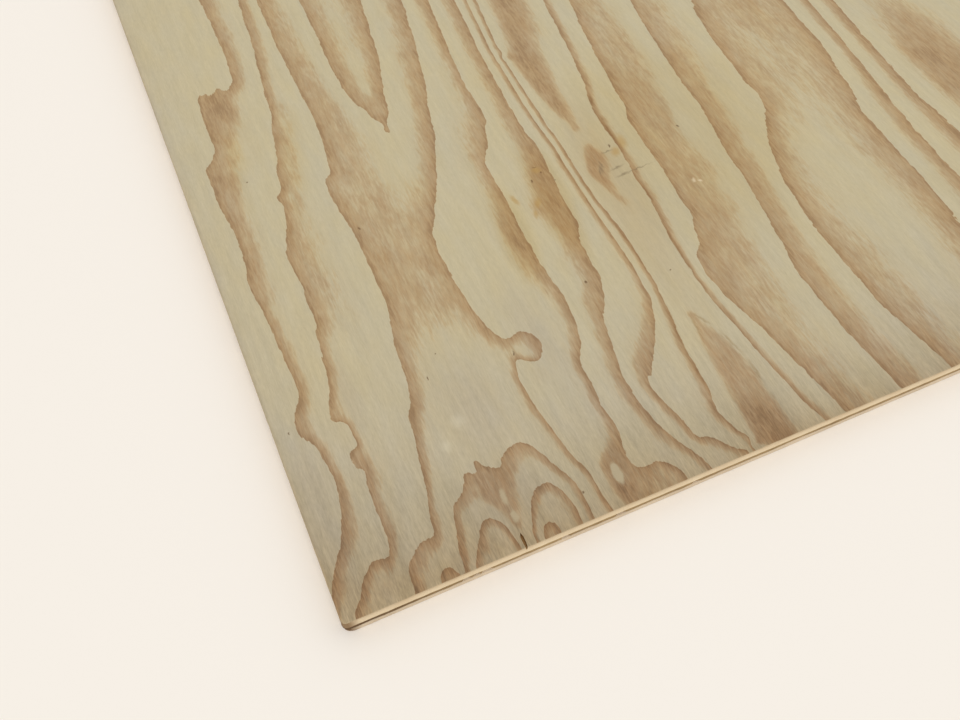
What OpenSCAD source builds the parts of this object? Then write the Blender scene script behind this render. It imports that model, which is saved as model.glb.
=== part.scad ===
// Three-ply softwood plywood sheet, lying flat with its face veneer up.
// X runs across the sheet, Y runs along the face grain and Z points up.
// The origin is the middle of the sheet's underside. Lengths are in millimetres.

/* [Sheet] */
// Width of the sheet, across the face grain
sheet_w = 1220; // [600:10:1525]
// Length of the sheet, along the face grain
sheet_l = 2440; // [1200:10:3660]

/* [Plies] */
// Thickness of the face veneer, its grain along the sheet
face_t = 5.4; // [2.5:0.1:8]
// Thickness of the core veneer, its grain across the sheet
core_t = 2.8; // [1.5:0.1:8]
// Thickness of the back veneer, its grain along the sheet
back_t = 3.8; // [1.5:0.1:8]

/* [Worn corner] */
// Radius worn on the face veneer at the near left corner
face_wear_r = 2.5; // [1:0.5:10]
// Radius worn on the core veneer at that corner
core_wear_r = 3.5; // [1:0.5:10]
// Radius worn on the back veneer at that corner
back_wear_r = 5; // [1:0.5:10]

/* [Face split] */
// Distance of the split from the near left corner, along the near end
split_from_corner = 84.5; // [20:0.5:200]
// Length of the split, along the grain from the near end
split_l = 7.5; // [3:0.5:40]
// Width of the split where it gapes most
split_w = 1.4; // [0.4:0.1:3]
// Width of the split where it meets the end
split_mouth_w = 0.8; // [0.2:0.1:3]
// Sideways drift of the split over its length
split_lean = 0.2; // [0:0.1:3]
// Depth of the split below the face
split_depth = 2; // [0.5:0.1:2.4]

/* [Hidden] */
// Stretch of the split that gapes widest, as shares of its length
split_near_share = 0.3;
split_far_share = 0.75;
// Overrun of a cut past the surface that it opens
overrun = 1;
// Height of each glue line, where one ply lies on the next
core_z = back_t;
face_z = core_z + core_t;
top_z = face_z + face_t;
// Place of the near left corner
corner_x = -sheet_w / 2;
corner_y = -sheet_l / 2;
$fn = 64;

// Plan of one ply: a rectangle with its near left corner worn round
module ply_plan(wear_r) {
    difference() {
        translate([corner_x, corner_y])
            square([sheet_w, sheet_l]);
        difference() {
            translate([corner_x - overrun, corner_y - overrun])
                square(wear_r + overrun);
            translate([corner_x + wear_r, corner_y + wear_r])
                circle(r = wear_r);
        }
    }
}

// One ply, pressed flat at the height of its lower glue line
module ply(base_z, thickness, wear_r) {
    translate([0, 0, base_z])
        linear_extrude(height = thickness)
            ply_plan(wear_r);
}

// Plan of the split: a sliver that opens at the near end and closes along the grain
module split_plan() {
    near = [split_lean, split_l] * split_near_share;
    far = [split_lean, split_l] * split_far_share;
    half_w = [split_w / 2, 0];
    half_mouth = [split_mouth_w / 2, 0];
    translate([corner_x + split_from_corner, corner_y])
        polygon([
            [-split_mouth_w / 2, -overrun],
            [split_mouth_w / 2, -overrun],
            half_mouth,
            near + half_w,
            far + half_w,
            [split_lean, split_l],
            far - half_w,
            near - half_w,
            -half_mouth
        ]);
}

module back_veneer() {
    color("tan")
        ply(0, back_t, back_wear_r);
}

module core_veneer() {
    color("peru")
        ply(core_z, core_t, core_wear_r);
}

module face_veneer() {
    color("burlywood")
        difference() {
            ply(face_z, face_t, face_wear_r);
            translate([0, 0, top_z - split_depth])
                linear_extrude(height = split_depth + overrun)
                    split_plan();
        }
}

back_veneer();
core_veneer();
face_veneer();
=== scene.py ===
import math

import bmesh
import bpy
import numpy as np
from mathutils import Matrix, Vector, noise


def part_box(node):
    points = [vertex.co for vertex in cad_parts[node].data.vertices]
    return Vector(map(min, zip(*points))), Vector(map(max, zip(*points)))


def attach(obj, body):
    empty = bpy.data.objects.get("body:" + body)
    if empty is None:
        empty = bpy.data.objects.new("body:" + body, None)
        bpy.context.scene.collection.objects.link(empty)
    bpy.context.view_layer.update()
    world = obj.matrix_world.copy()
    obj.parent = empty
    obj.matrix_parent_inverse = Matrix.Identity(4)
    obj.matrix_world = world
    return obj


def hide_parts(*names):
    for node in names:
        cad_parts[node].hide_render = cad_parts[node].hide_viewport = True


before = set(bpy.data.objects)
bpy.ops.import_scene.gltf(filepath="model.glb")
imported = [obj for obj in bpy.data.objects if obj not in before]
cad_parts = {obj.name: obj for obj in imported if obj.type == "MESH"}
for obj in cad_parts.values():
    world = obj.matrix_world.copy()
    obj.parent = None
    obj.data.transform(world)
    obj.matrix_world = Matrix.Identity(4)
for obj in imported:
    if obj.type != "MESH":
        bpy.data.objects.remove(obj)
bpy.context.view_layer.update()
MM = 0.001


# Back veneer
# The lowest ply, a sheet of pine about 4 mm thick. It was peeled from a turning log, so the growth rings
# spread into broad bands along the grain. Glue and a hot press hold it under the core. It is unsanded.
BACK_ACROSS = 10 * MM
BACK_ALONG = 16 * MM
BACK_FINE_CELL = 2 * MM
BACK_FINE_REACH = 20 * MM
BACK_ARRIS = 0.5 * MM
BACK_TEAR = 0.3 * MM
BACK_LOG = 31.7
BACK_WOOD = ((202, 187, 156), (196, 176, 139), (182, 155, 117), (175, 146, 108), (160, 129, 94))
BACK_SAWN = ((218, 200, 174), (192, 172, 144))
RIM = 2 * MM
TEAR_GRAIN = 4 * MM
# Points closer than this are one point, and points this close to a cut lie on it
SAME_PLACE = 0.001 * MM
SAME_PLANE = 0.0001 * MM
# Wear at the corners: how far it reaches, how far it is full, and its tint, which also colours the painted
# shade under the face ply's top arris
WORN_REACH = 8 * MM
WORN_FULL = 3 * MM
WEAR_AND_SHADE_TINT = (0.34, 0.26, 0.19, 1)
# Reach of the soil and the painted shade inwards from the near end, and along it from the worn corner
SOIL_AND_SHADE_INWARDS = 32 * MM
SOIL_AND_SHADE_ALONG = 600 * MM
# Soil at every corner and at every rim, and painted shade on the long arrises: its strength and how far in it
# reaches
SOIL_CORNER = (0.35, 70 * MM)
SOIL_RIM = (0.15, 15 * MM)
ARRIS_SHADE_LINE = (0.5, 0.8 * MM)
# Patches in the soil and painted shade: how much they vary, and their size across and along the grain
SOIL_PATCHES = (0.35, 30 * MM, 60 * MM)
# Swells of the ring count: rings, and their size across and along the grain
SWELLS = ((7.5, 150 * MM, 1100 * MM), (0.8, 55 * MM, 260 * MM), (0.1, 14 * MM, 50 * MM))


def linear(red, green, blue):
    """A colour as it looks on screen, in the linear light that shaders use."""
    shares = [level / 255 for level in (red, green, blue)]
    return [((share + 0.055) / 1.055) ** 2.4 if share > 0.04 else share / 12.92 for share in shares] + [1]


def cuts_between(low, high, *zones):
    """Places of cuts from one edge of the sheet to the other: one close to each rim, and evenly spaced ones
    in zones that each give their cell and how far they reach from the low edge."""
    cuts = [low + RIM, high - RIM]
    start = low
    for cell, reach in zones:
        end = high if reach is None else low + reach
        cuts.extend(np.linspace(start, end, round((end - start) / cell) + 1)[1:])
        start = end
    return sorted(place for place in cuts if low + RIM <= place <= high - RIM)


def slice_along(bm, faces, axis, places):
    """Cuts faces by a row of planes across one axis, and hands on only what still lies ahead of each."""
    normal = Vector((0, 0, 0))
    normal[axis] = 1
    ahead = list(faces)
    for place in places:
        edges = {edge for face in ahead for edge in face.edges}
        verts = {vert for edge in edges for vert in edge.verts}
        cut = bmesh.ops.bisect_plane(
            bm, geom=[*verts, *edges, *ahead], dist=SAME_PLANE,
            plane_co=normal * float(place), plane_no=normal,
        )
        pieces = [part for part in cut["geom"] if isinstance(part, bmesh.types.BMFace)]
        ahead = [face for face in pieces if face.calc_center_bounds()[axis] > place]


def veneer(node, cuts_across, cuts_along, layers, shown_side, arris, tear, log):
    """A ply cut from its solid: a fine grid on the side that shows, an eased arris and torn sawn edges."""
    low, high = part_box(node)
    shown_z = high.z if shown_side > 0 else low.z
    bm = bmesh.new()
    bm.from_mesh(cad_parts[node].data)
    bmesh.ops.remove_doubles(bm, verts=bm.verts, dist=SAME_PLACE)
    bmesh.ops.dissolve_limit(bm, angle_limit=0.001, verts=bm.verts, edges=bm.edges)

    def insets_of(vert):
        """How far a vertex lies in from the sheet's edges, across and along the grain."""
        return [min(vert.co[axis] - low[axis], high[axis] - vert.co[axis]) for axis in (0, 1)]

    def on_rim(vert):
        return abs(vert.co.z - shown_z) < SAME_PLACE and min(insets_of(vert)) < RIM

    if arris:
        rim = [edge for edge in bm.edges if all(on_rim(vert) for vert in edge.verts)]
        bmesh.ops.bevel(bm, geom=rim, offset=arris, segments=2, profile=0.5, affect="EDGES", material=-1)
    walls = [face for face in bm.faces if abs(face.normal.z) < 0.5]
    slice_along(bm, walls, 2, np.linspace(low.z, high.z, layers + 1)[1:-1])

    def is_glued(face):
        return abs(face.normal.z) > 0.9 and face.normal.z * shown_side < 0.5

    slice_along(bm, [face for face in bm.faces if not is_glued(face)], 0, cuts_across)
    slice_along(bm, [face for face in bm.faces if not is_glued(face)], 1, cuts_along)
    centre = (low + high) / 2
    torn_zone = 1.5 * arris + 10 * SAME_PLACE
    for vert in bm.verts:
        sides = [axis for axis, inset in enumerate(insets_of(vert)) if inset < torn_zone]
        if sides:
            depth = tear * (0.5 + 0.5 * noise.noise(vert.co / TEAR_GRAIN + Vector((0, 0, log))))
        for axis in sides:
            vert.co[axis] -= math.copysign(depth, vert.co[axis] - centre[axis])
    bm.normal_update()
    for face in bm.faces:
        face.material_index = 1 if face.normal.z * shown_side > 0.5 else 0
    return bm


def places_of(bm):
    return np.array([vert.co for vert in bm.verts])


def wear_of(places, low, high, reach):
    """How worn and dark an edge is: full at the sheet's corners, none beyond a reach from them."""
    inset = np.minimum(places - np.array(low), np.array(high) - places)
    from_corner = np.hypot(inset[:, 0], inset[:, 1])
    return np.clip((reach - from_corner) / (reach - WORN_FULL), 0, 1)


def soil_of(places, low, high, log, near_end):
    """Dirt from hands, sun and damp, and painted shade: both most at the near end's worn corner, with a line
    of painted shade on long arrises.
    """
    inset = np.minimum(places - np.array(low), np.array(high) - places)
    from_corner = np.hypot(inset[:, 0], inset[:, 1])
    from_rim = np.minimum(inset[:, 0], inset[:, 1])
    # Dirt and painted shade, darker towards the near end
    dirt_and_shade = near_end * np.exp((low.y - places[:, 1]) / SOIL_AND_SHADE_INWARDS + (low.x - places[:, 0]) / SOIL_AND_SHADE_ALONG)
    # Soil at the corners and rims, and a line of painted shade along the long arrises
    layers = ((from_corner, SOIL_CORNER), (from_rim, SOIL_RIM), (inset[:, 0], ARRIS_SHADE_LINE))
    for away, (strength, reach) in layers:
        dirt_and_shade += strength * np.exp(-away / reach)
    share, across, along = SOIL_PATCHES
    patches = [noise.noise((x / across, y / along, log)) for x, y, z in places]
    return dirt_and_shade * (1 + share * np.array(patches))


def peeled_rings(places, log):
    """Ring count over one log's veneer: slow swells where the knife met it, drawn out along the grain."""
    return np.array([
        sum(rings * noise.noise((x / across, y / along, log)) for rings, across, along in SWELLS)
        for x, y, z in places
    ])


def finished(bm, name, node, slot, materials, **maps):
    """A ply's mesh as an object that stands for its solid, with its maps of the wood as vertex attributes."""
    mesh = bpy.data.meshes.new(name)
    bm.to_mesh(mesh)
    bm.free()
    for label, values in maps.items():
        mesh.attributes.new(label, "FLOAT", "POINT").data.foreach_set("value", values)
    for material in materials:
        mesh.materials.append(material)
    ply = bpy.data.objects.new(name, mesh)
    bpy.context.scene.collection.objects.link(ply)
    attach(ply, "root")
    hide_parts(node)


def add(tree, kind, inputs=None, **settings):
    """A shader node with its settings, and its inputs set to values or linked from other nodes' outputs."""
    made = tree.nodes.new("ShaderNode" + kind)
    for name, value in settings.items():
        setattr(made, name, value)
    for socket, value in (inputs or {}).items():
        if isinstance(value, bpy.types.NodeSocket):
            tree.links.new(value, made.inputs[socket])
        else:
            made.inputs[socket].default_value = value
    return made


def maths(tree, operation, *values):
    return add(tree, "Math", dict(enumerate(values)), operation=operation).outputs[0]


def remap(tree, value, low, high, to_low=0.0, to_high=1.0):
    ranges = {0: value, 1: low, 2: high, 3: to_low, 4: to_high}
    return add(tree, "MapRange", ranges, interpolation_type="SMOOTHSTEP").outputs[0]


def mixed(tree, share, first, second, blend="MIX"):
    return add(tree, "Mix", {0: share, 6: first, 7: second}, data_type="RGBA", blend_type=blend).outputs[2]


def ramp(tree, value, stops):
    """A colour ramp through stops of (place, colour)."""
    made = add(tree, "ValToRGB", {0: value})
    elements = made.color_ramp.elements
    while len(elements) < len(stops):
        elements.new(0.5)
    for element, (place, colour) in zip(elements, stops):
        element.position = place
        element.color = colour
    return made.outputs[0]


def mapped(tree, name):
    """A map of the wood that the mesh carries."""
    return add(tree, "Attribute", attribute_name=name).outputs["Fac"]


def grain_noise(tree, vector, size, detail=2.0, roughness=0.5, offset=0.0):
    """Noise stretched along the grain, with features of the given size across and along it."""
    across, along = size
    scale = (1 / across, 1 / along, 1 / across)
    stretched = add(tree, "Mapping", {0: vector, 1: (offset, offset, offset), 3: scale}).outputs[0]
    settings = {"Vector": stretched, "Scale": 1.0, "Detail": detail, "Roughness": roughness}
    return add(tree, "TexNoise", settings).outputs[0]


def swing(tree, value, amount, around):
    """A value pushed up and down by noise."""
    return maths(tree, "MULTIPLY_ADD", maths(tree, "SUBTRACT", value, 0.5), amount, around)


def shader_group(name, inputs, outputs):
    """An empty node group with named sockets, and its inner ends."""
    group = bpy.data.node_groups.new(name, "ShaderNodeTree")
    for label, kind in inputs:
        group.interface.new_socket(label, in_out="INPUT", socket_type="NodeSocket" + kind)
    for label, kind in outputs:
        group.interface.new_socket(label, in_out="OUTPUT", socket_type="NodeSocket" + kind)
    entry = group.nodes.new("NodeGroupInput").outputs
    leave = group.nodes.new("NodeGroupOutput").inputs
    return group, entry, leave


def use(tree, group, inputs):
    """A node group placed in a tree, and its outputs."""
    placed = add(tree, "Group", node_tree=group)
    for socket, value in inputs.items():
        tree.links.new(value, placed.inputs[socket])
    return placed.outputs


# Fibres, flecks and streaks: their size across and along the grain
FIBRE = (0.6 * MM, 4 * MM)
FLECK = (1.1 * MM, 8 * MM)
STREAK = (2.2 * MM, 26 * MM)
fibres, inner, outer = shader_group(
    "pine fibres", [("Vector", "Vector")], [("Fine", "Float"), ("Fleck", "Float"), ("Streak", "Float")]
)
fine = grain_noise(fibres, inner["Vector"], FIBRE, roughness=0.6)
fibres.links.new(fine, outer["Fine"])
fleck = grain_noise(fibres, inner["Vector"], FLECK, roughness=0.6, offset=7.7)
fibres.links.new(remap(fibres, fleck, 0.3, 0.7), outer["Fleck"])
streak = grain_noise(fibres, inner["Vector"], STREAK, detail=3.0, roughness=0.6, offset=3.1)
fibres.links.new(streak, outer["Streak"])

# How dark the wood is over one ring: the share of the ring, and of the darkest late wood
LATE_WOOD = ((0.36, 0.0), (0.55, 0.08), (0.63, 0.36), (0.69, 0.54), (0.8, 0.7), (0.92, 0.86), (0.99, 1.0))
# Sway of the rings, jags of their edges and changes in their late wood: size across and along the grain
RING_SWAY = (5 * MM, 14 * MM)
RING_JAG = (1.2 * MM, 5 * MM)
RING_DEPTH = (7 * MM, 18 * MM)
# How much they do: sway, jags and frayed edges in rings, then changes as shares of the late wood
SWAY_RINGS = 0.16
JAG_RINGS = 0.12
FRAY_RINGS = 0.085
DEPTH_SHARE = 0.7
FLECK_SHARE = 0.18
# Share of the ring from which the late wood fades into the next ring's early wood
RING_END = 0.985
growth_rings, inner, outer = shader_group(
    "growth rings", [("Count", "Float"), ("Fleck", "Float"), ("Vector", "Vector")], [("Late Wood", "Float")]
)
sway = grain_noise(growth_rings, inner["Vector"], RING_SWAY, offset=1.3)
jag = grain_noise(growth_rings, inner["Vector"], RING_JAG, offset=5.9)
depth = grain_noise(growth_rings, inner["Vector"], RING_DEPTH, detail=3.0, offset=8.2)
count = swing(growth_rings, sway, SWAY_RINGS, inner["Count"])
phase = maths(growth_rings, "FRACT", swing(growth_rings, jag, JAG_RINGS, count))
frayed = swing(growth_rings, inner["Fleck"], FRAY_RINGS, phase)
late = ramp(growth_rings, frayed, [(place, [share] * 3 + [1]) for place, share in LATE_WOOD])
late = maths(growth_rings, "MULTIPLY", late, swing(growth_rings, depth, DEPTH_SHARE, 1.0))
late = maths(growth_rings, "MULTIPLY", late, swing(growth_rings, inner["Fleck"], FLECK_SHARE, 1.0))
late = maths(growth_rings, "MULTIPLY", late, remap(growth_rings, phase, RING_END, 1.0, 1.0, 0.0))
growth_rings.links.new(late, outer["Late Wood"])


def principled(name):
    """A new material, its node tree and its shader."""
    material = bpy.data.materials.new(name)
    material.use_nodes = True
    return material, material.node_tree, material.node_tree.nodes["Principled BSDF"]


# Where a wood's five tones lie, from early wood to the darkest late wood
WOOD_STOPS = (0.0, 0.28, 0.68, 0.8, 1.0)
COOL_TINT = (0.98, 0.985, 1.0, 1)
WARM_TINT = (1.0, 0.985, 0.94, 1)
TINT_DRIFTS = ((26 * MM, 90 * MM), (7 * MM, 22 * MM))
# Tints by soil: the neutral greys are painted shade towards the near end, the warm brown is dirt
SOIL_AND_SHADE_TINTS = (
    (0.0, (1.0, 1.0, 1.0, 1)),
    (0.25, (0.9, 0.89, 0.94, 1)),
    (0.4, (0.83, 0.81, 0.83, 1)),
    (1.0, (0.7, 0.62, 0.57, 1)),
)
GRAIN_RELIEF = 0.12 * MM
SAWN_RELIEF = 0.25 * MM
SAWN_BLOTCHES = 70.0


def wood_face(name, wood):
    """A veneer's broad face: growth-ring bands, fibres, a slow drift of tint, and soil with painted shade."""
    material, tree, shader = principled(name)
    place = add(tree, "TexCoord").outputs["Object"]
    grain = use(tree, fibres, {"Vector": place})
    ring = {"Count": mapped(tree, "ring"), "Fleck": grain["Fleck"], "Vector": place}
    late = use(tree, growth_rings, ring)["Late Wood"]
    soil = mapped(tree, "soil")
    colour = ramp(tree, late, [(at, linear(*tone)) for at, tone in zip(WOOD_STOPS, wood)])
    for size in TINT_DRIFTS:
        drift = grain_noise(tree, place, size, offset=size[0] / MM)
        tint = ramp(tree, drift, [(0.3, COOL_TINT), (0.7, WARM_TINT)])
        colour = mixed(tree, 1.0, colour, tint, "MULTIPLY")
    # Soil and painted shade darken the face towards the near end
    colour = mixed(tree, 1.0, colour, ramp(tree, soil, SOIL_AND_SHADE_TINTS), "MULTIPLY")
    contrast = maths(tree, "MULTIPLY_ADD", soil, 0.5, maths(tree, "MULTIPLY_ADD", late, 0.12, 0.21))
    shade = swing(tree, grain["Fine"], contrast, 1.0)
    shade = swing(tree, grain["Streak"], contrast, shade)
    grey = add(tree, "CombineColor", {0: shade, 1: shade, 2: shade}).outputs[0]
    colour = mixed(tree, 1.0, colour, grey, "MULTIPLY")
    height = maths(tree, "MULTIPLY_ADD", late, 0.6, maths(tree, "MULTIPLY", grain["Fine"], 0.5))
    bump = add(tree, "Bump", {"Strength": 0.35, "Distance": GRAIN_RELIEF, "Height": height}).outputs[0]
    tree.links.new(bump, shader.inputs["Normal"])
    dull = maths(tree, "MULTIPLY_ADD", grain["Fine"], 0.14, 0.58)
    dull = maths(tree, "MULTIPLY_ADD", late, -0.08, dull)
    tree.links.new(dull, shader.inputs["Roughness"])
    shader.inputs["Specular IOR Level"].default_value = 0.3
    tree.links.new(colour, shader.inputs["Base Color"])
    return material, tree, shader, colour, place


def sawn_edge(name, sawn, turn=0):
    """A ply's sawn edge: long fibres or their cut ends, furred by the saw, dark where corners are worn, and
    darkened by painted shade under the face ply's top arris.
    """
    material, tree, shader = principled(name)
    place = add(tree, "TexCoord").outputs["Object"]
    along = add(tree, "Mapping", {0: place, 2: (0, 0, math.radians(turn))}).outputs[0]
    grain = use(tree, fibres, {"Vector": along})
    settings = {"Vector": place, "Scale": SAWN_BLOTCHES, "Detail": 4.0, "Roughness": 0.6}
    blotch = add(tree, "TexNoise", settings).outputs[0]
    pale, dark = (linear(*tone) for tone in sawn)
    tone = maths(tree, "MULTIPLY_ADD", grain["Fine"], 0.5, maths(tree, "MULTIPLY", blotch, 0.6))
    colour = mixed(tree, remap(tree, tone, 0.35, 0.85), pale, dark)
    # Dark where corners are worn, and painted shade under the face ply's top arris
    colour = mixed(tree, mapped(tree, "worn"), colour, WEAR_AND_SHADE_TINT, "MULTIPLY")
    tree.links.new(colour, shader.inputs["Base Color"])
    bump = add(tree, "Bump", {"Strength": 0.5, "Distance": SAWN_RELIEF, "Height": tone}).outputs[0]
    tree.links.new(bump, shader.inputs["Normal"])
    shader.inputs["Roughness"].default_value = 0.75
    shader.inputs["Specular IOR Level"].default_value = 0.25
    return material


low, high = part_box("back_veneer")
bm = veneer(
    "back_veneer",
    cuts_between(low.x, high.x, (BACK_FINE_CELL, BACK_FINE_REACH), (BACK_ACROSS, None)),
    cuts_between(low.y, high.y, (BACK_FINE_CELL, BACK_FINE_REACH), (BACK_ALONG, None)),
    layers=2, shown_side=-1, arris=BACK_ARRIS, tear=BACK_TEAR, log=BACK_LOG,
)
places = places_of(bm)
back_face = wood_face("back pine", BACK_WOOD)[0]
back_edge = sawn_edge("back pine sawn", BACK_SAWN)
finished(
    bm, "back_ply", "back_veneer", "back_wood", (back_edge, back_face),
    ring=peeled_rings(places, BACK_LOG),
    soil=soil_of(places, low, high, BACK_LOG, near_end=0.3),
    worn=wear_of(places, low, high, WORN_REACH),
)


# Core veneer
# The middle ply, laid with its grain across the sheet so that the sheet doesn't split or cup. It is darker
# heartwood, soaked with glue from both faces. The saw tears it deepest, and opens small gaps in its end.
CORE_CELL = 6 * MM
CORE_FINE_CELL = 1.5 * MM
CORE_FINE_ACROSS = 210 * MM
CORE_FINE_ALONG = 12 * MM
CORE_TEAR = 0.6 * MM
CORE_LOG = 12.4
CORE_WORN_REACH = 60 * MM
CORE_SAWN = ((168, 141, 99), (126, 99, 62))
# Gaps along the near end, in millimetres: distance from the worn corner, half length and depth
CORE_GAPS = ((56, 2, 1.2), (61, 1.5, 1), (66, 3, 1.5), (104, 2, 2), (132, 3, 1), (171, 2, 1))

low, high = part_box("core_veneer")
bm = veneer(
    "core_veneer",
    cuts_between(low.x, high.x, (CORE_FINE_CELL, CORE_FINE_ACROSS), (CORE_CELL, None)),
    cuts_between(low.y, high.y, (CORE_FINE_CELL, CORE_FINE_ALONG), (CORE_CELL, None)),
    layers=2, shown_side=0, arris=0, tear=CORE_TEAR, log=CORE_LOG,
)
for vert in bm.verts:
    if vert.co.y < low.y + CORE_TEAR:
        for place, half, deep in CORE_GAPS:
            off = abs(vert.co.x - low.x - place * MM) / (half * MM)
            vert.co.y += deep * MM * max(0, 1 - off ** 2)
places = places_of(bm)
core_edge = sawn_edge("core pine sawn", CORE_SAWN, turn=90)
finished(
    bm, "core_ply", "core_veneer", "core_wood", (core_edge,),
    worn=wear_of(places, low, high, CORE_WORN_REACH),
)


# Face veneer
# The top ply, the best of the three, peeled pine laid with its grain along the sheet and lightly sanded.
# Knife cuts through the rings of one log give its figure, with a small knot, pitch streaks and a split end.
FACE_CELL = 1.8 * MM
FACE_ACROSS = 9 * MM
FACE_ALONG = 20 * MM
FACE_FINE_ACROSS = 345 * MM
FACE_FINE_ALONG = 350 * MM
FACE_ARRIS = 0.4 * MM
FACE_TEAR = 0.25 * MM
# Painted shade on the face ply's sawn edges under the top arris: its strength and how far down it fades
FACE_ARRIS_SHADE = 0.55
FACE_ARRIS_FADE = 1.6 * MM
FACE_LOG = 5.3
SPLIT_AT = 84.5 * MM
SPLIT_REACH = 3 * MM
FACE_WOOD = ((195, 183, 151), (191, 173, 137), (177, 151, 114), (172, 144, 106), (157, 128, 92))
FACE_SAWN = ((231, 212, 178), (217, 193, 156))
# Colours inside the split: torn wood, darkened as painted shade of the crack
SPLIT_WOOD_AND_SHADE = ((134, 99, 58), (180, 141, 92))
SPLIT_GRAIN = (0.4 * MM, 2 * MM)

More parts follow.
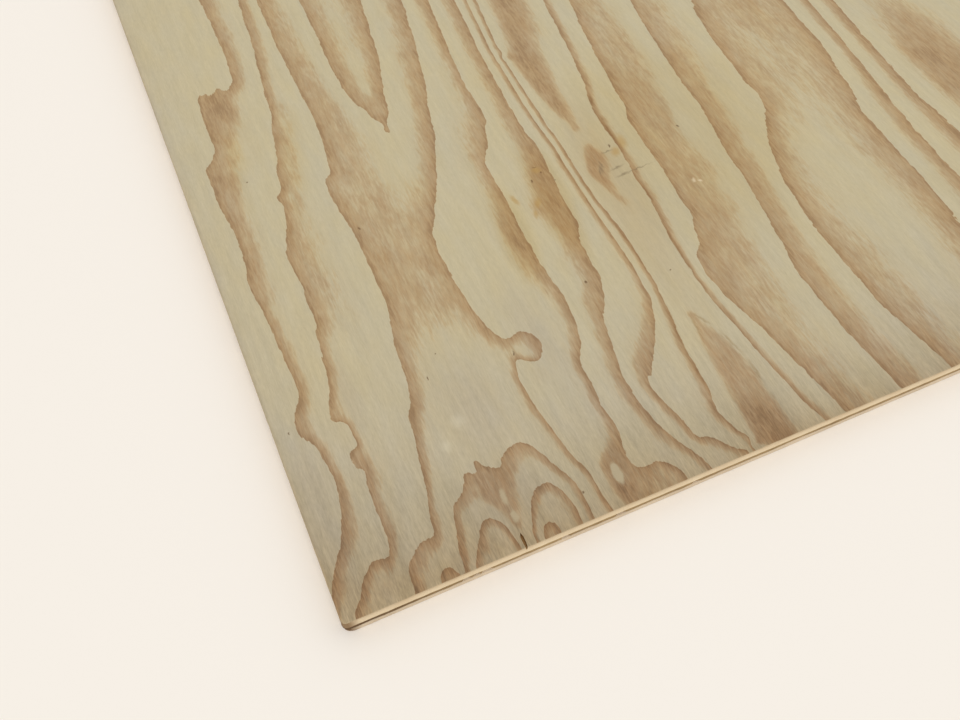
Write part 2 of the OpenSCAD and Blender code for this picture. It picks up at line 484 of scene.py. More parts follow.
# Edges of the growth rings near the worn corner: the ring's count, then points walked with the late wood
# on the right hand. Each is x and y from the corner and the width of the late wood there, in millimetres.
RING_EDGES = (
    # First band from the left
    (7, [(0, 14, 6), (4, 23, 5), (7, 28, 5), (11, 34, 5), (14, 41, 6), (16, 48, 5), (18, 56, 4),
         (19.5, 64, 3), (18.5, 74, 3), (17.5, 81, 3), (14.5, 88, 4.5), (12, 93, 5), (11.5, 99, 5.5),
         (14, 106, 5), (17.5, 112, 4), (18.5, 120, 4), (18, 135, 4), (17.5, 150, 3.5), (16.5, 170, 4),
         (15, 181, 8), (15, 190, 8.5), (17, 201, 8), (18, 222, 8), (17, 237, 9), (15.5, 253, 12),
         (15.6, 265, 14), (15.8, 276, 13), (17, 281, 12), (20, 283, 11), (22.5, 288, 10), (25, 293, 9),
         (25.4, 300, 12), (25.4, 308, 16), (25.2, 318, 20), (25.4, 328, 20), (26.2, 338, 16)]),
    # Where it goes on past its frayed end
    (7, [(46.5, 341, 6), (50, 347, 7), (52, 367, 7), (53, 400, 7), (52, 440, 8), (50, 490, 8)]),
    # Second band, with a hook in it
    (6, [(6, 0, 5), (8, 5, 4), (11.5, 9, 2.5), (14, 14, 2.5), (18, 18.5, 2.5), (22, 21, 2.5),
         (28.5, 20.5, 3), (31, 28, 3.5), (31, 46, 3.5), (31.3, 52, 4), (32.3, 58, 4), (33, 62.5, 4),
         (32.4, 65, 5), (30.7, 65.6, 5), (30.2, 69, 6), (30.4, 74.5, 6), (32.2, 75.8, 4), (34.3, 77, 2),
         (34.6, 80, 1.8), (34.3, 85, 1.8), (33.6, 90, 2), (32, 91.5, 3), (30, 92.8, 3), (28.3, 93.6, 3),
         (28, 97, 5), (28.8, 101, 5), (29.6, 105, 4), (31, 107.5, 3), (32.6, 111, 2.5), (34.5, 121, 4),
         (36, 135, 3), (37, 145, 5), (39.2, 151, 6), (39.2, 165, 6.5), (40.6, 177, 8), (39, 189, 10),
         (39, 200, 12), (41.5, 210, 10), (45, 219, 5), (48, 236, 3), (46.5, 241, 4), (51, 249, 4),
         (52, 261, 6), (55.5, 271, 4), (58, 283, 6), (60.5, 298, 5), (63.5, 310, 4), (65, 322, 4),
         (66, 335, 4), (71, 375, 6), (76, 430, 6), (78, 490, 6)]),
    # Left side of the broad middle band
    (5, [(32.5, 0, 5), (33.5, 9, 4), (37, 16, 5), (42, 20, 6), (50, 22, 4), (51.5, 30, 2.5), (55, 42, 2),
         (57, 54, 3), (60, 69, 3), (62, 83, 6), (66, 90, 5), (68, 99, 5), (69.5, 113, 6), (71, 126, 8),
         (74, 139, 12), (76, 149, 20), (76.5, 170, 24), (76.5, 200, 24), (75, 220, 22), (74, 234, 22),
         (75.5, 243, 20), (80, 250, 17), (82.5, 262, 15), (84.5, 281, 15), (85.5, 300, 15), (85, 325, 13),
         (85, 370, 10), (87, 430, 9), (88, 490, 9)]),
    # Right side of the broad middle band, round the knot and down to the end
    (5, [(181, 440, 9), (173, 370, 9), (164, 325, 9), (157, 294, 9), (151, 276, 8), (146, 253, 8),
         (141, 241, 7), (135, 224, 7), (128.5, 209.5, 7), (124, 199.5, 8), (120, 190.5, 11),
         (115.4, 183, 13), (113.8, 170, 12), (113.6, 150, 10), (115, 127, 6), (117.5, 113, 5),
         (120.3, 106.5, 5), (122, 104.6, 5), (126, 103.6, 3.5), (130, 105, 5), (133, 104, 6),
         (135.5, 101.5, 6.5), (137.3, 96, 6.5), (136.8, 92, 6), (135, 88.5, 4), (133, 86.4, 1.5),
         (130.5, 85.8, 1.2), (128, 86.6, 1.2), (125.5, 88.5, 1), (122, 90.3, 1), (119.8, 86, 1.4),
         (118.5, 80, 2), (118.5, 70, 2), (119, 62, 2.5), (120.5, 52, 2.5), (122.5, 35, 2), (126, 21, 1.5),
         (126, 10, 1.4), (127, 0, 1.4)]),
    # Fourth band
    (6, [(197, 440, 8), (190, 370, 7), (183, 320, 5), (179, 284, 4), (179, 262, 6), (178, 252, 8),
         (175.5, 247, 9), (173, 240, 9), (170.5, 233, 9), (166, 226, 6.5), (163.4, 220, 4.5),
         (162.6, 208, 5), (162.3, 195, 6), (161.5, 182, 6.5), (160.6, 170, 10.5), (160, 155, 10),
         (159.3, 143, 8.5), (160, 130, 6), (160.8, 120, 5), (160.6, 112, 4), (158.8, 98, 3.5),
         (155.8, 88, 5), (150, 76, 3), (149, 58, 4), (147.5, 51, 2.5), (148.7, 40, 4), (148.5, 35, 4),
         (147, 29, 5), (145.7, 24, 7), (145.5, 18, 8), (147, 15.5, 7), (150, 14, 6), (154, 13.8, 4),
         (158.5, 13, 4), (160.5, 11, 4), (163, 8.5, 4), (164.8, 5, 4), (165.3, 0, 5)]),
    # Fifth band
    (7, [(214, 430, 8), (206, 360, 7), (200, 310, 6), (197, 270, 6), (195.5, 245, 8.5), (195.3, 232, 8.5),
         (196.6, 221, 9.5), (195.2, 208, 10), (194.5, 200, 12), (193, 190, 13), (191.2, 175, 13),
         (190.4, 157, 12.5), (187.8, 152, 10), (185.6, 146, 9), (184.5, 135, 8.5), (183.8, 118, 8.5),
         (180.5, 109, 9.5), (176, 101, 7.5), (173, 94, 6), (171, 88, 5.5), (168.3, 75, 5), (165, 60, 4.5),
         (165, 44, 4.5), (167, 31, 4.5), (171, 19, 4), (176, 9, 2.5), (178.5, 0, 2.5)]),
    # Two narrow lines side by side
    (8, [(222, 430, 2), (213, 360, 2), (207, 310, 2), (205.2, 272, 2), (204.5, 250, 2), (204.4, 235, 2),
         (205, 215, 2), (204.2, 200, 2), (203.8, 180, 2), (203.4, 165, 2), (203.5, 150, 2), (203.3, 120, 2),
         (201.4, 98, 3), (196, 84, 5), (190.5, 74, 7), (185, 66, 8), (179, 58, 7), (175, 52, 4),
         (175.4, 44, 3.5), (177.5, 34, 3), (181, 17, 2.5), (186, 14.6, 3), (191, 8, 2), (198, 0, 2)]),
    (9, [(228, 430, 2), (219, 360, 2), (212, 310, 2), (210.2, 271, 2), (209.5, 250, 2), (209, 235, 2),
         (209.6, 215, 2), (208.4, 198, 2), (207.7, 185, 2), (207.7, 172, 2), (208.9, 160, 2),
         (209.7, 145, 2), (209.5, 130, 2), (208.2, 107, 2.2), (204.8, 82, 2.4), (201.2, 63, 2.2),
         (199.8, 42, 2.4), (196.2, 25, 2.2), (200, 12, 1.8), (204.5, 0, 1.8)]),
    # Dark line beside the flames
    (9, [(240, 0, 2), (236, 18, 2), (233.5, 40, 2), (232.4, 52, 2), (231, 67, 2), (229.7, 82, 2),
         (229.2, 95, 2), (229.8, 112, 2), (231, 128, 2.2), (233, 142, 2.5), (235, 156, 3), (235.6, 172, 3.2),
         (237.4, 185, 2.8), (238.6, 200, 2.6), (239, 220, 3), (240.2, 236, 3), (242.2, 246, 3.5),
         (246, 256, 3), (251, 282, 3), (258, 330, 3), (266, 400, 3)]),
    # Three wide bands on the right
    (8, [(252, 0, 9), (248, 25, 9), (243, 58, 9), (240, 69, 10), (236.5, 84, 14), (235.5, 100, 20),
         (237, 111, 20), (243, 117, 20), (246, 128, 20), (250.5, 138, 20), (250.5, 152, 20), (253, 170, 18),
         (254, 195, 20), (255, 220, 24), (259.6, 229, 24), (260.6, 246, 22), (266, 285, 16), (275, 335, 12),
         (284, 400, 12)]),
    (7, [(284, 0, 11), (280, 40, 11), (280, 80, 11), (287, 120, 10), (290, 138, 10), (293, 156, 9.5),
         (293, 169, 10), (297, 189, 10), (300.5, 212, 10), (301, 230, 11), (305, 270, 12), (313, 330, 12),
         (322, 400, 12)]),
    (6, [(314, 0, 10), (306, 50, 10), (306, 100, 10), (311, 140, 9), (321, 171, 9), (335, 195, 9),
         (338, 206, 9), (337, 218, 9), (340, 260, 10), (350, 320, 12), (360, 390, 12)]),
    # Far side of the last of them
    (6, [(418, 390, 14), (411, 330, 14), (405, 273, 14), (401, 230, 14), (396, 200, 13), (388, 172, 12),
         (385, 140, 12), (384, 110, 12), (381, 75, 12), (377, 40, 12), (374, 0, 12)]),
    # Point of the inner ring above the broad band
    (4, [(156, 430, 10), (148, 380, 9), (140, 330, 8), (133, 304, 8), (131, 298, 8), (130, 290, 8),
         (129, 285, 7), (127, 279.5, 5), (124.5, 276.5, 3), (123, 270, 1), (122.6, 266, 1),
         (121.2, 265.6, 1), (120.9, 272, 1), (119.8, 276.5, 3), (117.5, 281, 6), (115.8, 287, 7),
         (115.3, 290.5, 7), (113.2, 294, 8), (112, 299, 8), (111, 305, 8), (110, 314, 8), (110, 345, 8),
         (112, 390, 9), (114, 440, 9)]),
    # Double arch at the near end, the two arches inside it, and two small tips
    (4, [(55.5, 0, 3), (56.8, 10, 3), (59.5, 20, 3), (61, 25, 3), (62.6, 30, 4), (66, 33.5, 5),
         (70, 36.5, 6), (72, 40, 7), (74.5, 43.8, 8), (76.5, 42.2, 8), (79, 42.8, 10), (81, 48, 12),
         (82.6, 45.5, 12), (84, 43.2, 11), (87, 41, 9), (89, 40.2, 8), (91, 41.4, 8), (92.5, 44, 8),
         (95, 46.4, 8), (99, 48.2, 8), (104, 48, 7), (107, 45.4, 6), (110, 40, 4), (112.5, 34, 3),
         (115, 27, 2.4), (117.4, 20, 2.2), (118, 14, 2.2), (117.8, 0, 2.2)]),
    (3, [(60.5, 0, 2), (64, 7, 2), (68.5, 14, 2), (71, 18, 2), (74, 19.5, 2.2), (77.5, 18, 2),
         (80.5, 12, 1.6), (82, 4, 1.4), (82.5, 0, 1.4)]),
    (3, [(89.5, 0, 1.6), (91, 8, 1.8), (94, 16, 2.2), (98, 22, 2.6), (103, 24.5, 2.8), (108, 23, 2.2),
         (111.5, 16, 1.6), (112.5, 8, 1.6), (112, 0, 1.6)]),
    (2, [(93.8, 0, 5), (94.2, 3.5, 5), (95.6, 6, 5), (98, 7.4, 5), (100.3, 6, 5), (101.2, 3.5, 5),
         (101, 0, 5)]),
    (4, [(44.5, 0, 4), (46, 4.5, 4), (49, 6, 4), (52, 4, 4), (53.5, 0, 4)]),
)
# Outlines of dark flames that fade on all sides: the count that they come near, then points walked with the
# flame on the right hand. Each is x and y from the corner and half the width of the fade, in millimetres.
RING_FLAMES = (
    (10, [(236, 300, 3), (232, 275, 3), (229, 256, 2), (228, 242, 2), (226.6, 233, 2), (225.2, 226, 1.6),
          (223.6, 222, 1.2), (221.6, 229.5, 1), (219.6, 236, 1), (218, 244, 1), (216.6, 256, 1),
          (215, 275, 1.4), (214, 300, 2)]),
    (10, [(219.8, 162, 1), (218.4, 166, 1), (217.3, 171, 1), (216, 178, 1), (214, 184, 1), (213.6, 188, 1),
          (215.4, 195, 1), (217.6, 202, 1), (220.5, 207.5, 1), (224, 209.5, 1.4), (226, 205, 2),
          (227.8, 197, 2), (227, 190, 2), (224, 184, 1.6), (222, 177, 1.4), (221.2, 169, 1.2)]),
    (10, [(202, -6, 2), (205, 10, 1.6), (206.8, 24, 1.4), (207.8, 36, 1.4), (208.8, 50, 1.4),
          (210.6, 60, 1.2), (211.8, 68, 1), (213, 76, 0.8), (214.4, 81.5, 0.7), (216.8, 75, 0.8),
          (219.6, 68, 1), (222.2, 59, 1.4), (224, 48, 1.8), (224.4, 30, 2), (224.5, 10, 2), (225, -6, 2)]),
)
# Ring counts in the wood between those edges: x, y, count
RING_POOLS = (
    # Left of the first band and between the first two
    (0, 40, 7.25), (0, 60, 7.25), (0, 90, 7.25), (0, 120, 7.3), (0, 150, 7.3), (0, 180, 7.3), (0, 210, 7.3),
    (0, 240, 7.3), (0, 270, 7.3), (0, 300, 7.3), (0, 340, 7.3), (8, 320, 7.2), (0, 400, 7.3), (0, 460, 7.3),
    (44, 320, 6.82), (56, 325, 6.3), (51, 320, 6.45), (38, 302, 6.72), (33, 296, 6.72), (30, 325, 6.86),
    (40, 316, 6.86), (42, 331, 6.86), (30, 310, 6.82), (35, 308, 6.72), (28, 290, 6.78), (22, 272, 6.86),
    (26, 266, 6.82), (24, 255, 6.82), (28, 278, 6.78), (45, 303, 6.5), (41, 290, 6.5), (34, 282, 6.64),
    (36, 291, 6.66), (32, 266, 6.6), (38, 272, 6.45), (26, 160, 6.4), (29, 200, 6.4), (31, 235, 6.4),
    (37, 258, 6.45), (28, 60, 6.1), (27, 72, 6.1), (4, 4, 6.3), (31, 333, 6.92), (36, 332, 6.92),
    (43, 335, 6.93), (29, 347, 7.1), (36, 343, 7.08), (42, 347, 7.1), (34, 356, 7.2), (42, 362, 7.2),
    (30, 390, 7.25), (30, 450, 7.25),
    # Between the second band and the broad one
    (54, 158, 5.58), (54, 190, 5.58), (57, 218, 5.58), (54, 240, 5.62), (59, 262, 5.62), (63, 280, 5.62),
    (67, 300, 5.6), (70, 318, 5.6), (53, 226, 5.64), (57, 237, 5.64), (60, 250, 5.66), (62, 260, 5.67),
    (64, 270, 5.64), (66, 280, 5.64), (68, 295, 5.66), (72, 310, 5.62), (65, 238, 5.4), (69, 258, 5.4),
    (73, 280, 5.4), (78, 305, 5.4), (33.5, 70, 5.9), (24, 8, 5.5), (20, 12, 5.55), (44, 8, 4.5),
    (42, 13, 4.7),
    # Inside the double arch
    (66, 22, 3.35), (71, 25, 3.35), (75, 27, 3.5), (81.6, 27, 3.78), (82.4, 22, 3.76), (83, 17, 3.74),
    (83.8, 12.5, 3.7), (85.3, 26, 3.72), (86, 15.5, 3.68), (85.2, 20, 3.72), (85, 31.5, 3.76),
    (88.8, 27, 3.78), (88.6, 22, 3.76), (88, 17, 3.74), (86.5, 11.5, 3.7), (90.5, 31, 3.8), (95, 30, 3.4),
    (100, 34, 3.35), (106, 34, 3.3), (78, 33, 3.82), (82, 31.5, 3.8), (72, 8, 2.55), (70, 3, 2.5),
    (104, 10, 2.5), (106, 3, 2.4), (76, 37, 3.86), (80, 38, 3.87), (84.5, 36, 3.88), (90, 36, 3.86),
    (87, 33, 3.84),
    # Inside the broad band, the point above it and the knot
    (95, 170, 4.72), (95, 200, 4.71), (95, 150, 4.73), (104, 165, 4.76), (100, 222, 4.66), (106, 138, 4.72),
    (98, 140, 4.69), (88, 131, 4.64), (100, 130, 4.63), (90, 122, 4.57), (105, 121, 4.57), (97, 116, 4.5),
    (90, 108, 4.42), (95, 85, 4.25), (95, 65, 4.15), (108, 60, 4.25), (105, 95, 4.35), (75, 60, 4.35),
    (70, 45, 4.25), (112, 90, 4.4), (107, 252, 4.54), (109, 275, 4.48), (105, 300, 4.5), (116, 250, 4.3),
    (135, 270, 4.35), (141, 290, 4.35), (121, 245, 4.15), (122, 280, 3.88), (122, 286, 3.84),
    (122, 292, 3.8), (122, 297, 3.7), (122.5, 303, 3.5), (123, 309, 3.35), (124, 330, 3.4),
    (126.5, 94, 4.45),
    # Dark patch at the foot of the fourth band
    (137, 17, 5.74), (137, 12, 5.76), (132.5, 14, 5.8), (132.5, 20, 5.8), (132.5, 9, 5.8),
    (134.5, 24.5, 5.82), (138, 27, 5.8), (142, 29, 5.78), (142, 20, 5.85), (140, 8, 5.85), (134, 5, 5.8),
    (144, 12, 5.88), (152, 7, 5.7), (158, 5, 5.75), (130, 12, 5.3), (130, 18, 5.3), (130.5, 24, 5.3),
    (137, 30.5, 5.4), (133, 28, 5.35), (130.5, 4, 5.35),
    # Between the broad band and the narrow lines
    (130, 60, 5.2), (135, 130, 5.25), (130, 160, 5.15), (140, 200, 5.2), (160, 265, 5.4), (143, 150, 5.4),
    (153, 166, 5.86), (154, 155, 5.86), (156, 174, 5.88), (154, 145, 5.84), (184, 176, 6.87),
    (183, 160, 6.87), (186, 190, 6.85), (188, 205, 6.86), (190, 218, 6.86), (172, 150, 6.3), (172, 205, 6.3),
    (182, 235, 6.4), (158, 40, 6.35), (170, 120, 6.35), (172, 185, 6.5), (175.5, 176, 6.74), (188, 30, 8.3),
    (190, 115, 7.3), (195, 140, 7.35), (178, 66, 7.8), (174, 60, 7.78), (169, 66, 7.35), (183, 84, 7.4),
    (186, 100, 7.35),
    # Round the flames, and inside them
    (213, 240, 9.2), (212, 212, 9.25), (212, 150, 9.2), (215, 120, 9.25), (222, 140, 9.25), (226, 165, 9.3),
    (229, 178, 9.35), (232, 200, 9.4), (230, 216, 9.45), (233, 235, 9.45), (234, 250, 9.4), (220, 216, 9.4),
    (215, 100, 9.2), (223, 95, 9.2), (205, 40, 9.2), (204, 60, 9.2), (229, 60, 9.2), (228.5, 30, 9.2),
    (222, 254, 9.84), (222.5, 242, 9.86), (220, 196, 9.8), (217.5, 188, 9.84), (223, 192, 9.76),
    (218.6, 176, 9.8), (214.3, 75, 9.64), (214.8, 68, 9.65), (215.5, 60, 9.68), (215.5, 50, 9.78),
    (215, 38, 9.75), (212, 30, 9.73), (210, 20, 9.86), (218.5, 30, 9.74), (221, 44, 9.7),
    # Between the wide bands on the right
    (245, 200, 8.2), (246, 170, 8.2), (242, 150, 8.2), (250, 235, 8.25), (237, 122, 8.15), (233, 100, 8.1),
    (287, 200, 7.25), (284, 150, 7.3), (290, 225, 7.25), (270, 90, 7.5), (264, 100, 7.7), (255, 120, 7.78),
    (246, 100, 7.76), (245, 88, 7.76), (252, 92, 7.74), (272, 120, 7.55), (277, 205, 7.66), (276, 165, 7.66),
    (320, 215, 6.35), (318, 190, 6.35),
)
# How the ring count varies around its mean: rings, and reach across and along the grain in millimetres
RING_REACHES = ((1.5, 90, 220), (0.3, 22, 36), (0.14, 5, 8))
RING_MIDDLE = 6.5
# Steps along an edge, the width of its rim and how far the soundings bend the rings, in millimetres
RING_STEP = 9
RING_RIM = 1.0
RING_LIMIT = (900, 1300)
# Most of the late wood that a rim takes up
RIM_SHARE = 0.4
# Rings by which the count falls from an edge to its rim, and to the end of its late wood
RIM_DROP = 0.08
LATE_DROP = 0.33
# Rings by which a flame's outline, the wood inside it and the wood outside it fall short of its count
FLAME_DROPS = (0.36, 0.24, 0.54)
# How far the count may stray in the wood between edges, and how many places are worked out at once
POOL_SLACK = 0.03
RING_BATCH = 200


def walked(points):
    """A ring edge's points with more put between them, and the direction to the right of each."""
    points = np.array(points, float)
    run = np.r_[0, np.cumsum(np.hypot(*np.diff(points[:, :2], axis=0).T))]
    legs = [np.linspace(a, b, math.ceil((b - a) / RING_STEP), endpoint=False) for a, b in zip(run, run[1:])]
    at = np.r_[np.concatenate(legs), run[-1]]

    def along(distance):
        return np.stack([np.interp(distance, run, column) for column in points.T], 1)

    way = (along(at + RING_STEP / 4) - along(at - RING_STEP / 4))[:, :2]
    way /= np.hypot(*way.T)[:, None]
    return along(at), np.stack([way[:, 1], -way[:, 0]], 1)


def ring_soundings():
    """Known ring counts: on each edge, just inside and outside its rim, where its late wood ends, across the
    outline of each flame, and between. The last column is how far the count may stray there."""
    rows = [np.array([(x, y, count, POOL_SLACK) for x, y, count in RING_POOLS])]
    at_outline, inside, outside = FLAME_DROPS

    def sound(at, count, slack):
        rows.append(np.c_[at, np.full(len(at), count), np.full(len(at), slack)])

    for count, points in RING_EDGES:
        edge, right = walked(points)
        width = edge[:, 2:]
        rim = np.minimum(RING_RIM, RIM_SHARE * width)
        for inset, drop, slack in (
            (0, 0, 0.01), (rim, RIM_DROP, 0.02), (width, LATE_DROP, 0.05), (-rim, -RIM_DROP, 0.03)
        ):
            sound(edge[:, :2] + right * inset, count - drop, slack)
    for count, points in RING_FLAMES:
        outline, right = walked(points)
        fade = outline[:, 2:]
        for inset, drop, slack in ((0, at_outline, 0.02), (fade, inside, 0.03), (-fade, outside, 0.03)):
            sound(outline[:, :2] + right * inset, count - drop, slack)
    return np.concatenate(rows)


def likeness(first, second):
    """How much the ring count at one place tells of the count at another: less the further they lie apart."""
    apart = (first[:, None, :2] - second[None, :, :2]) ** 2
    total = 0
    for spread, across, along in RING_REACHES:
        away = np.sqrt(3 / across ** 2 * apart[..., 0] + 3 / along ** 2 * apart[..., 1])
        total = total + spread ** 2 * (1 + away) * np.exp(-away)
    return total


def figured_rings(places, corner, log):
    """Peeled rings over the whole sheet, bent to pass through the soundings near the corner."""
    known = ring_soundings()
    known_places = np.c_[known[:, :2] * MM + corner[:2], np.zeros(len(known))]
    short = known[:, 2] - RING_MIDDLE - peeled_rings(known_places, log)
    weights = np.linalg.solve(likeness(known, known) + np.diag(known[:, 3] ** 2), short)
    count = RING_MIDDLE + peeled_rings(places, log)
    local = ((places - corner) / MM).astype(np.float32)
    near = np.flatnonzero((local[:, 0] < RING_LIMIT[0]) & (local[:, 1] < RING_LIMIT[1]))
    known = known.astype(np.float32)
    for batch in np.array_split(near, len(near) // RING_BATCH + 1):
        count[batch] += likeness(local[batch], known) @ weights
    return count


low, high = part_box("face_veneer")
bm = veneer(
    "face_veneer",
    cuts_between(low.x, high.x, (FACE_CELL, FACE_FINE_ACROSS), (FACE_ACROSS, None)),
    cuts_between(low.y, high.y, (FACE_CELL, FACE_FINE_ALONG), (FACE_ALONG, None)),
    layers=3, shown_side=1, arris=FACE_ARRIS, tear=FACE_TEAR, log=FACE_LOG,
)


def in_split(vert):
    """True of a vertex on the floor or the walls of the split."""
    beside = abs(vert.co.x - low.x - SPLIT_AT) < SPLIT_REACH
    return beside and vert.co.y > low.y + 2 * FACE_TEAR and low.z < vert.co.z < high.z - 0.1 * FACE_TEAR


for face in bm.faces:
    if any(in_split(vert) for vert in face.verts):
        face.material_index = 2
places = places_of(bm)
corner = np.array([low.x, low.y, high.z])
face_figure, tree, shader, colour, place = wood_face("face pine", FACE_WOOD)

# Marks near the worn corner, in layers: soft share of the radius, strength, tone and how it is laid, then
# each oval's x, y, half width and half length in millimetres and its turn in degrees
MARKS = (
    # Grey weathered wood
    (1.0, 0.8, (0.92, 0.915, 0.97, 1), "MULTIPLY",
     ((92, 78, 26, 40, 0), (8, 60, 14, 50, 0), (40, 105, 8, 30, 0), (138, 100, 18, 55, 0),
      (88, 28, 34, 24, 0))),
    # Warmer wood in two bands, towards the right, and beside other bands
    (0.6, 1.0, (0.95, 0.905, 0.79, 1), "MULTIPLY", ((156, 165, 13, 48, -6),)),
    (0.6, 1.0, (0.92, 0.85, 0.71, 1), "MULTIPLY", ((186, 180, 14, 60, -6),)),
    (0.6, 1.0, (0.96, 0.925, 0.84, 1), "MULTIPLY",
     ((243, 221, 5, 14, 0), (240, 164, 5, 18, -4), (280, 195, 80, 105, 0))),
    (0.8, 1.0, (0.94, 0.9, 0.86, 1), "MULTIPLY", ((222, 165, 24, 120, -3),)),
    (0.8, 1.0, (1.0, 0.97, 0.88, 1), "MULTIPLY", ((63, 268, 11, 62, -13), (33, 280, 8, 34, -10))),
    # Pale eyes in the dark patch and between the arches
    (0.35, 0.75, linear(182, 169, 138), "MIX", ((137.3, 16, 2.7, 6.8, -2),)),
    (0.6, 0.7, linear(184, 169, 137), "MIX", ((85.4, 26, 1.9, 5.5, -3), (86, 15.5, 2.2, 4.6, 0))),
    # Pitch that darkens one line, and denser wood in other thin lines
    (1.0, 0.9, (0.7, 0.6, 0.47, 1), "MULTIPLY", ((240.2, 214, 2, 30, -1), (243.2, 243, 1.8, 10, -14))),
    (1.0, 0.9, (0.84, 0.77, 0.68, 1), "MULTIPLY",
     ((203.8, 80, 1.8, 16, -11), (199, 46, 1.6, 22, -2), (207.4, 185, 1.5, 36, 0), (208.4, 135, 1.5, 30, 1),
      (203.2, 190, 1.4, 60, -1), (236.4, 165, 1.5, 22, -2), (231, 120, 1.4, 30, -5),
      (46.5, 216, 2.4, 9, -18))),
    # Thin rim round one flame
    (1.0, 0.9, (0.78, 0.7, 0.6, 1), "MULTIPLY",
     ((212.8, 71.5, 1.1, 11, -6), (218, 75, 1.1, 8.4, 28), (223.9, 57, 1.1, 12.4, 11),
      (225.8, 38, 1.1, 10, -2))),
    # Resin
    (0.9, 0.65, linear(178, 143, 82), "MIX",
     ((166.3, 187, 2.2, 6.5, 12), (172.5, 173, 1.8, 5, -12), (187, 203, 4, 4, 0), (177, 180, 3, 6, -35),
      (243, 204, 4, 9, -10), (235.5, 198, 4, 6, -30))),
    # Faint scuffs, and a bright nick
    (1.0, 0.25, linear(222, 212, 186), "MIX", ((82, 70, 6, 6, 0), (72, 60, 4, 5, 0))),
    (0.9, 0.6, linear(226, 208, 172), "MIX", ((265, 160, 1.4, 2.6, -40), (268, 158.5, 1.2, 2.4, 60))),
    # Dark specks
    (0.8, 0.75, linear(92, 62, 28), "MIX",
     ((80.5, 202.5, 0.9, 1.9, 0), (175.5, 120, 1.0, 1.4, 0), (279, 202, 1.0, 1.6, 20),
      (220, 109, 0.8, 1.2, -40), (34.5, 260.5, 0.7, 1.1, 0), (118.7, 13.5, 0.9, 1.3, 0),
      (87, 110, 0.6, 0.9, 0), (122.3, 94.5, 0.8, 2.4, -8), (78, 98, 0.5, 2.0, 0), (7.5, 96, 0.5, 0.8, 0),
      (181.3, 196, 0.9, 2.0, -10), (234.3, 203.4, 0.9, 1.6, -25), (193.6, 192, 0.8, 0.9, 0),
      (187, 205.5, 0.5, 2.2, 75), (189, 200.5, 0.8, 1.4, 0))),
    # Plain pencil strokes
    (1.0, 0.6, linear(120, 103, 76), "MIX",
     ((240, 181, 0.7, 16, 93), (231, 180, 1.2, 6.5, 95), (230, 186.3, 1.3, 6.5, 99),
      (221.4, 189, 1.6, 5.5, -6), (223, 192, 1, 4, 4), (219.6, 187, 1, 4, -20), (231, 200, 0.8, 5.5, 92))),
)
# Wobble of their outlines: how many to a metre, and how far across and along the grain
MARK_WOBBLES = 450.0
MARK_PUSH = (1.5 * MM, 3 * MM, 0)


def ovals(tree, place, marks, soft):
    """Mask of oval marks, full inside and soft over a share of their radius."""
    mask = None
    for x, y, half_width, half_length, turn in marks:
        centre = (corner[0] + x * MM, corner[1] + y * MM, corner[2])
        size = (half_width * MM, half_length * MM, 1)
        fit = {0: place, 1: centre, 2: (0, 0, math.radians(turn)), 3: size}
        oval = add(tree, "Mapping", fit, vector_type="TEXTURE").outputs[0]
        inside = add(tree, "TexGradient", {0: oval}, gradient_type="SPHERICAL").outputs["Fac"]
        inside = remap(tree, inside, 0.0, soft)
        mask = inside if mask is None else maths(tree, "MAXIMUM", mask, inside)
    return mask


wobble = add(tree, "TexNoise", {"Vector": place, "Scale": MARK_WOBBLES, "Detail": 2.0}).outputs["Color"]
wobble = add(tree, "VectorMath", {0: wobble, 1: (0.5, 0.5, 0.5)}, operation="SUBTRACT").outputs[0]
wobbled = add(tree, "VectorMath", {0: wobble, 1: MARK_PUSH, 2: place}, operation="MULTIPLY_ADD").outputs[0]
for soft, strength, tone, blend, marks in MARKS:
    share = maths(tree, "MULTIPLY", ovals(tree, wobbled, marks, soft), strength)
    colour = mixed(tree, share, colour, tone, blend)
tree.links.new(colour, shader.inputs["Base Color"])

face_edge = sawn_edge("face pine sawn", FACE_SAWN)
# Inside the split: torn wood, darkened as painted shade
split_wood_and_shade, tree, shader = principled("split pine with painted shade")
place = add(tree, "TexCoord").outputs["Object"]
torn = grain_noise(tree, place, SPLIT_GRAIN, detail=3.0)
dark, pale = (linear(*tone) for tone in SPLIT_WOOD_AND_SHADE)
tree.links.new(mixed(tree, torn, dark, pale), shader.inputs["Base Color"])
shader.inputs["Roughness"].default_value = 0.9
shader.inputs["Specular IOR Level"].default_value = 0.1
# Painted shade: the face ply's sawn edges darken towards the top arris
arris_shade = FACE_ARRIS_SHADE * np.exp((places[:, 2] - high.z) / FACE_ARRIS_FADE)
finished(
    bm, "face_ply", "face_veneer", "face_wood", (face_edge, face_figure, split_wood_and_shade),
    ring=figured_rings(places, corner, FACE_LOG),
    soil=soil_of(places, low, high, FACE_LOG, near_end=1.0),
    worn=np.maximum(arris_shade, wear_of(places, low, high, WORN_REACH)),
)


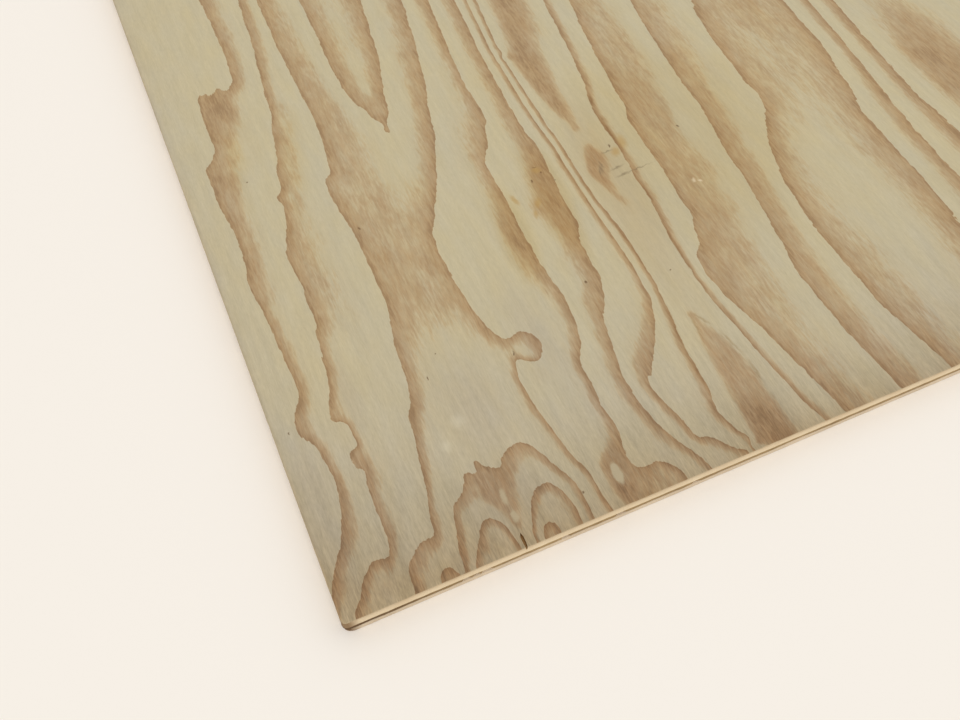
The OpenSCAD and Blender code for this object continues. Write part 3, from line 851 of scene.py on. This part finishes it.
# Studio
# A plain pale floor under the sheet, an even sky of soft light, one soft sun from the left,
# and a camera that looks down on the worn corner.
FLOOR_TONE = linear(247, 240, 230)
FLOOR_HALF = 40.0
FLOOR_DROP = 0.1 * MM
SKY_LIGHT = 0.75
SUN_LIGHT = 0.95
SUN_TILT = (math.radians(32), math.radians(-14), math.radians(20))
SUN_SPREAD = math.radians(25)
LENS = 35.1
CAMERA_SHIFT = 0.0012
CAMERA_NEAR = 10 * MM
CAMERA_AT = (-608.1 * MM, -1355.9 * MM, 393.0 * MM)
CAMERA_RIGHT = Vector((0.91393, -0.40588, 0.0))
CAMERA_AHEAD = Vector((0.22558, 0.50796, -0.83132))

bm = bmesh.new()
bmesh.ops.create_grid(bm, x_segments=1, y_segments=1, size=FLOOR_HALF)
bmesh.ops.translate(bm, verts=bm.verts, vec=(0, 0, -FLOOR_DROP))
mesh = bpy.data.meshes.new("floor")
bm.to_mesh(mesh)
bm.free()
floor = bpy.data.objects.new("floor", mesh)
bpy.context.scene.collection.objects.link(floor)
material, tree, shader = principled("pale floor")
shader.inputs["Base Color"].default_value = FLOOR_TONE
shader.inputs["Roughness"].default_value = 0.9
shader.inputs["Specular IOR Level"].default_value = 0.1
mesh.materials.append(material)

world = bpy.data.worlds.new("studio")
bpy.context.scene.world = world
world.use_nodes = True
tree = world.node_tree
rays = add(tree, "LightPath").outputs
seen = maths(tree, "MAXIMUM", rays["Is Camera Ray"], rays["Is Glossy Ray"])
sky = mixed(tree, seen, (SKY_LIGHT, SKY_LIGHT, SKY_LIGHT, 1), FLOOR_TONE)
tree.links.new(sky, tree.nodes["Background"].inputs["Color"])

sun = bpy.data.lights.new("sun", "SUN")
sun.energy = SUN_LIGHT
sun.angle = SUN_SPREAD
sun_object = bpy.data.objects.new("sun", sun)
sun_object.rotation_euler = SUN_TILT
bpy.context.scene.collection.objects.link(sun_object)

camera = bpy.data.cameras.new("camera")
camera.lens = LENS
camera.clip_start = CAMERA_NEAR
camera.shift_y = CAMERA_SHIFT
camera_object = bpy.data.objects.new("camera", camera)
up = CAMERA_RIGHT.cross(CAMERA_AHEAD)
turn = Matrix((CAMERA_RIGHT, up, -CAMERA_AHEAD)).transposed()
camera_object.matrix_world = Matrix.Translation(CAMERA_AT) @ turn.to_4x4()
bpy.context.scene.collection.objects.link(camera_object)
bpy.context.scene.camera = camera_object
bpy.context.scene.view_settings.view_transform = "Standard"
